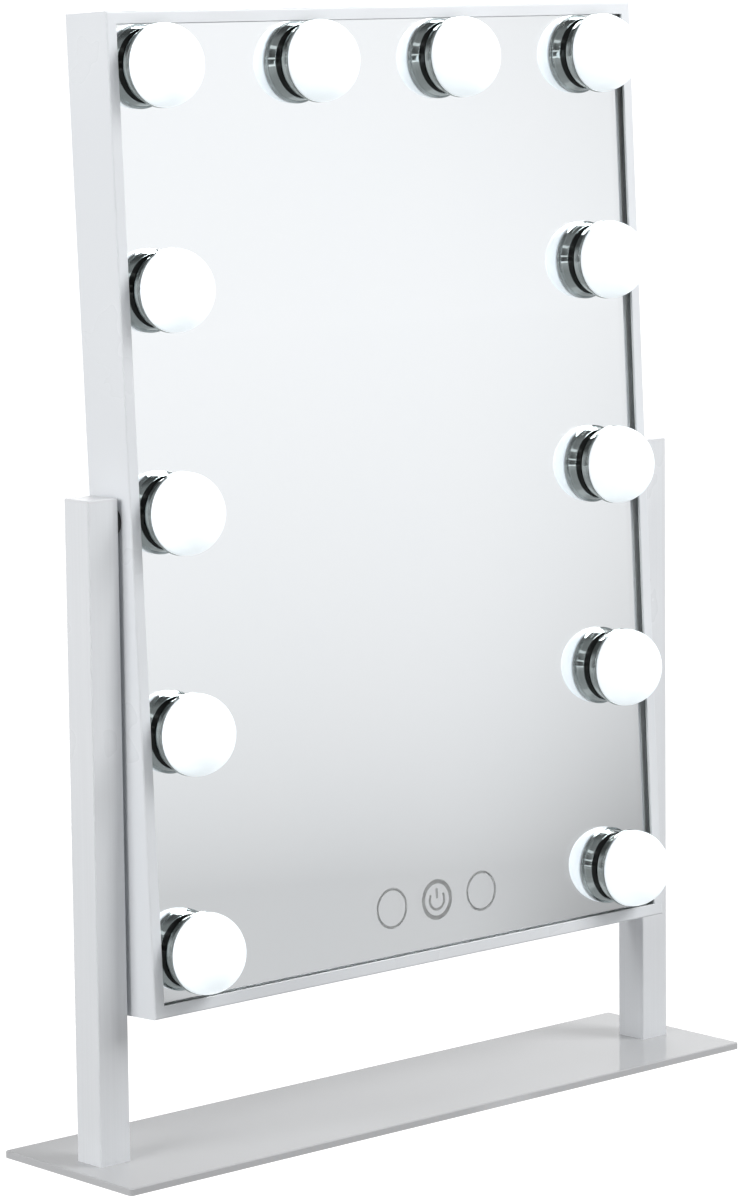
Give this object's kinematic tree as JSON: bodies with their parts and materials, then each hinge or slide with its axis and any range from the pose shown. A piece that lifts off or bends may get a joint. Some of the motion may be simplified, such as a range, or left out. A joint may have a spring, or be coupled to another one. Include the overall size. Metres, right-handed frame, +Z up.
{
  "type": "lighted vanity mirror",
  "caption": "Table-top vanity mirror with round opal bulbs along its top and sides, tilting between two square posts on a flat base.",
  "frame": {"origin": "centre of the face that rests on the table, under the base", "axes": "+X along the mirror's width, to the right as its user sees it; the mirror faces -Y; +Z up"},
  "size_m": [0.36, 0.086, 0.4807],
  "materials": {
    "base_enamel": "gloss white-silver baked enamel on steel sheet",
    "base_foam": "closed-cell foam sheet",
    "zinc_steel": "bright zinc plated",
    "post_enamel": "satin white-silver powder coat on steel tube",
    "cap_plastic": "moulded ABS, satin",
    "nylon": "moulded black nylon",
    "frame_enamel": "satin white-silver powder coat on aluminium extrusion",
    "gasket_rubber": "pale grey foam tape",
    "mirror": "silvered float glass, polished",
    "backing": "polystyrene sheet",
    "block_plastic": "moulded ABS",
    "panel_plastic": "white ABS sheet, fine satin grain",
    "circuit_board": "white solder mask on glass-epoxy board",
    "stem_nut_steel": "bright zinc plated",
    "jack_plastic": "moulded black nylon",
    "wire_jacket": "white PVC insulation",
    "cup_chrome": "polished chrome plate",
    "globe_opal": "opal polycarbonate, lit cool white"
  },
  "bodies": {
    "stand": {"base_plate": "base_enamel", "base_foam_sheet": "base_foam", "base_screws": "zinc_steel", "post_left": "post_enamel", "post_right": "post_enamel", "post_cap_left": "cap_plastic", "post_cap_right": "cap_plastic", "post_foot_blocks": "zinc_steel", "pivot_bush_left": "nylon", "pivot_bush_right": "nylon"},
    "head": {"back_panel": "panel_plastic", "back_panel_screws": "zinc_steel", "backing_board": "backing", "bulb_cup_01": "cup_chrome", "bulb_cup_02": "cup_chrome", "bulb_cup_03": "cup_chrome", "bulb_cup_04": "cup_chrome", "bulb_cup_05": "cup_chrome", "bulb_cup_06": "cup_chrome", "bulb_cup_07": "cup_chrome", "bulb_cup_08": "cup_chrome", "bulb_cup_09": "cup_chrome", "bulb_cup_10": "cup_chrome", "bulb_cup_11": "cup_chrome", "bulb_cup_12": "cup_chrome", "bulb_globe_01": "globe_opal", "bulb_globe_02": "globe_opal", "bulb_globe_03": "globe_opal", "bulb_globe_04": "globe_opal", "bulb_globe_05": "globe_opal", "bulb_globe_06": "globe_opal", "bulb_globe_07": "globe_opal", "bulb_globe_08": "globe_opal", "bulb_globe_09": "globe_opal", "bulb_globe_10": "globe_opal", "bulb_globe_11": "globe_opal", "bulb_globe_12": "globe_opal", "bulb_lock_nuts": "stem_nut_steel", "corner_blocks": "block_plastic", "dc_jack": "jack_plastic", "dc_jack_lead": "wire_jacket", "dc_jack_nut": "zinc_steel", "driver_board": "circuit_board", "driver_board_screws": "zinc_steel", "frame_bottom": "frame_enamel", "frame_left": "frame_enamel", "frame_right": "frame_enamel", "frame_top": "frame_enamel", "glass_gasket": "gasket_rubber", "led_boards": "circuit_board", "mirror_glass": "mirror", "pivot_bolt_left": "zinc_steel", "pivot_bolt_right": "zinc_steel", "pivot_hub_left": "zinc_steel", "pivot_hub_right": "zinc_steel", "pivot_nuts": "zinc_steel", "pivot_spring_washers": "zinc_steel", "sensor_ribbon": "wire_jacket", "touch_sensor_board": "circuit_board", "wiring_harness": "wire_jacket"}
  },
  "joints": [
    {"name": "head_tilt", "type": "hinge", "parent": "stand", "child": "head", "pos_m": [0, 0, 0.2728], "axis": [1, 0, 0], "continuous": true}
  ]
}
